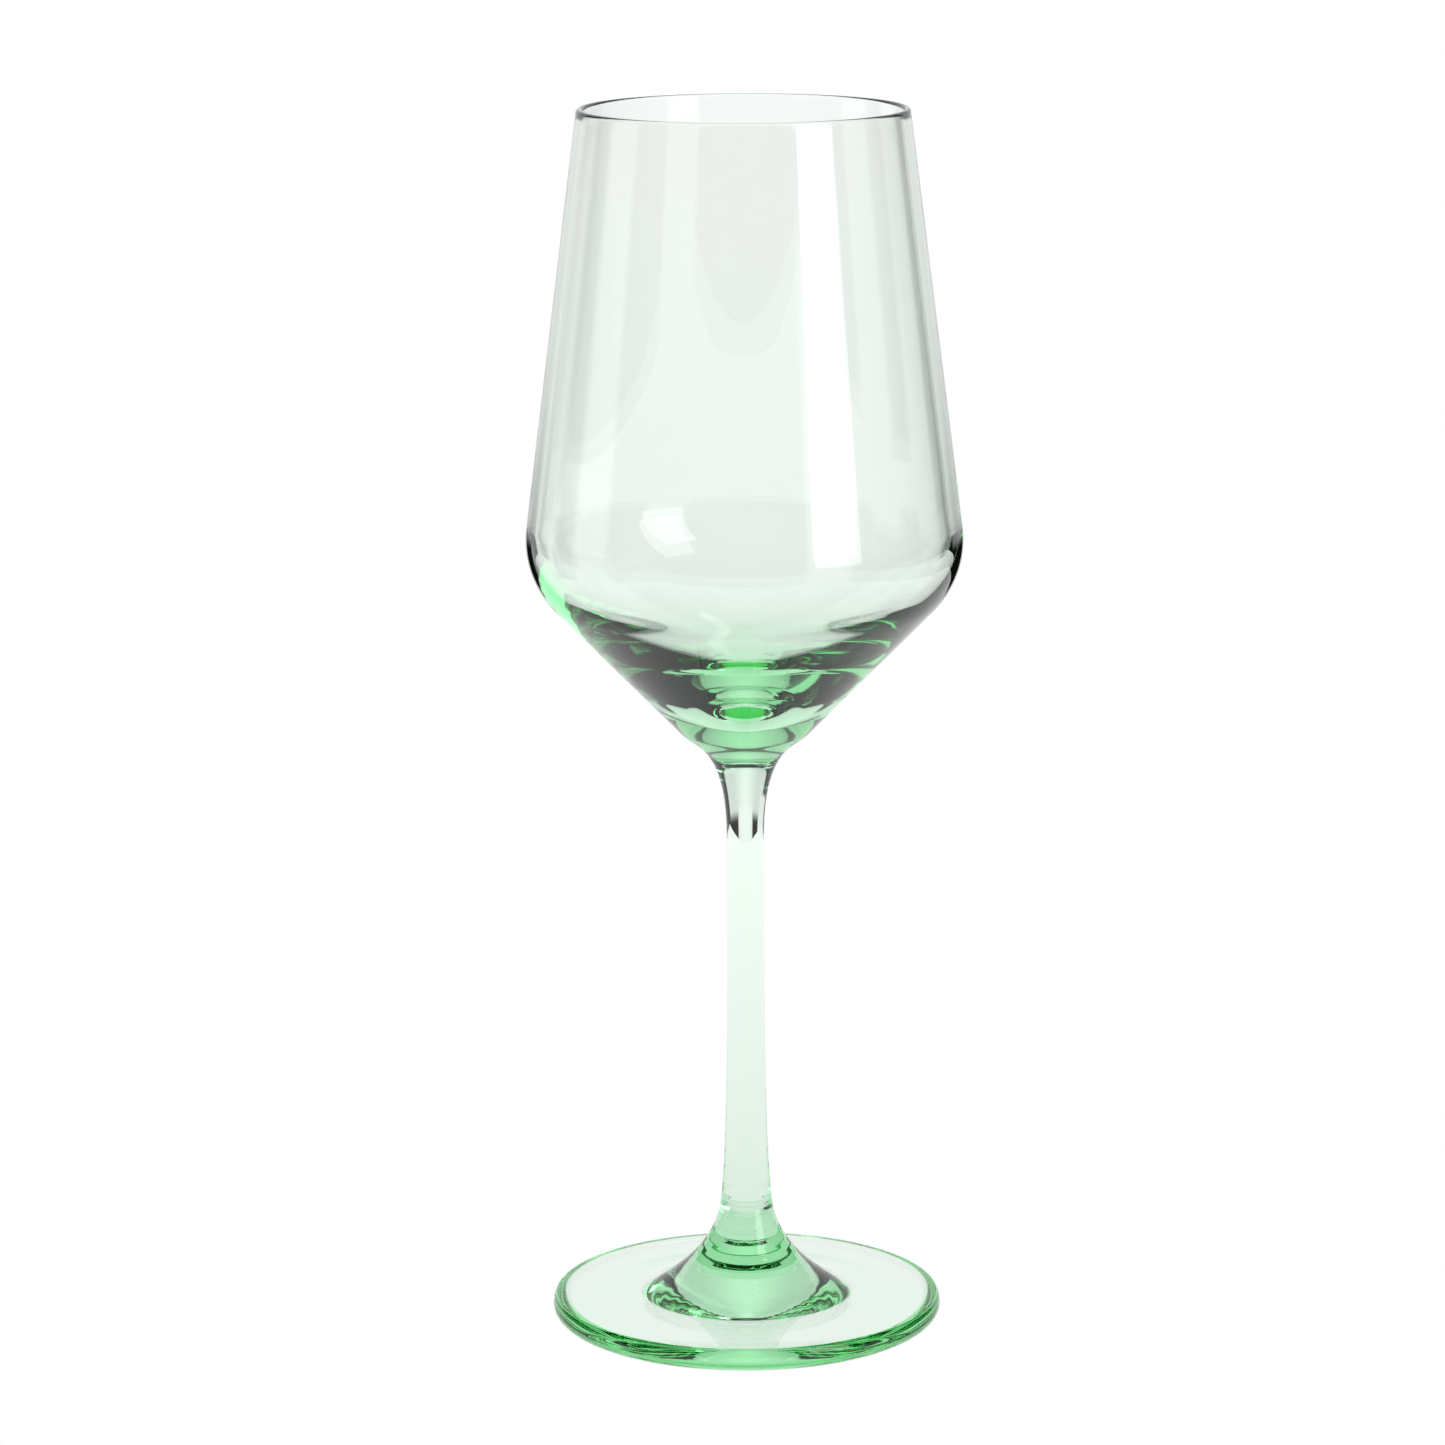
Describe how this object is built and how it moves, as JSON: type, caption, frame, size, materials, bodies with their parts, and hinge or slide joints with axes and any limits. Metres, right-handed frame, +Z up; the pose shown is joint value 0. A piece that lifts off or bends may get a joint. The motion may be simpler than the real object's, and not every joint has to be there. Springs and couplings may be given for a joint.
{
  "type": "wine glass",
  "caption": "Stemmed white-wine glass in pale green glass: a tapered bowl with a rounded shoulder and a straight lower cone on a slender stem, with a round flared foot.",
  "frame": {"origin": "centre of the foot, on the surface that the glass stands on", "axes": "+Z up along the axis of the stem and bowl, towards the rim; the glass is round, so X and Y are alike"},
  "size_m": [0.082, 0.082, 0.232],
  "materials": {
    "bowl_glass": "clear pale mint green, fire polished",
    "stem_glass": "clear pale mint green, fire polished",
    "foot_glass": "clear pale mint green, fire polished"
  },
  "bodies": {
    "root": {"bowl": "bowl_glass", "stem": "stem_glass", "foot": "foot_glass"}
  },
  "joints": []
}
